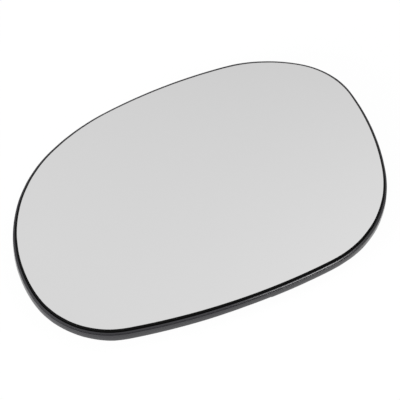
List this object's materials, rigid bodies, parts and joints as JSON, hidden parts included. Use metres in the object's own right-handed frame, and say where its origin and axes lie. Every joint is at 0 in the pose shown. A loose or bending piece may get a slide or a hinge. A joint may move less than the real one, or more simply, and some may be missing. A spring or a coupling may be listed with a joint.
{
  "type": "car door mirror glass",
  "caption": "Convex car door mirror glass on a moulded black backing plate, with a snap-finger ring on the back that clips over the round head of the mirror adjuster.",
  "frame": {"origin": "on the axis of the clip socket, in the plane of the guard ring's end face that the part rests on, which is also under the middle of the plate's box", "axes": "+X along the length of the glass, +Y across it towards the top edge, +Z out of the reflecting face"},
  "size_m": [0.18, 0.1232, 0.016],
  "materials": {
    "mirror": "polished",
    "foam": "matt closed-cell foam",
    "plate": "fine moulded texture, slightly glossy on the lip"
  },
  "bodies": {
    "root": {"mirror_glass": "mirror", "adhesive_pad": "foam", "backing_plate": "plate"}
  },
  "joints": []
}
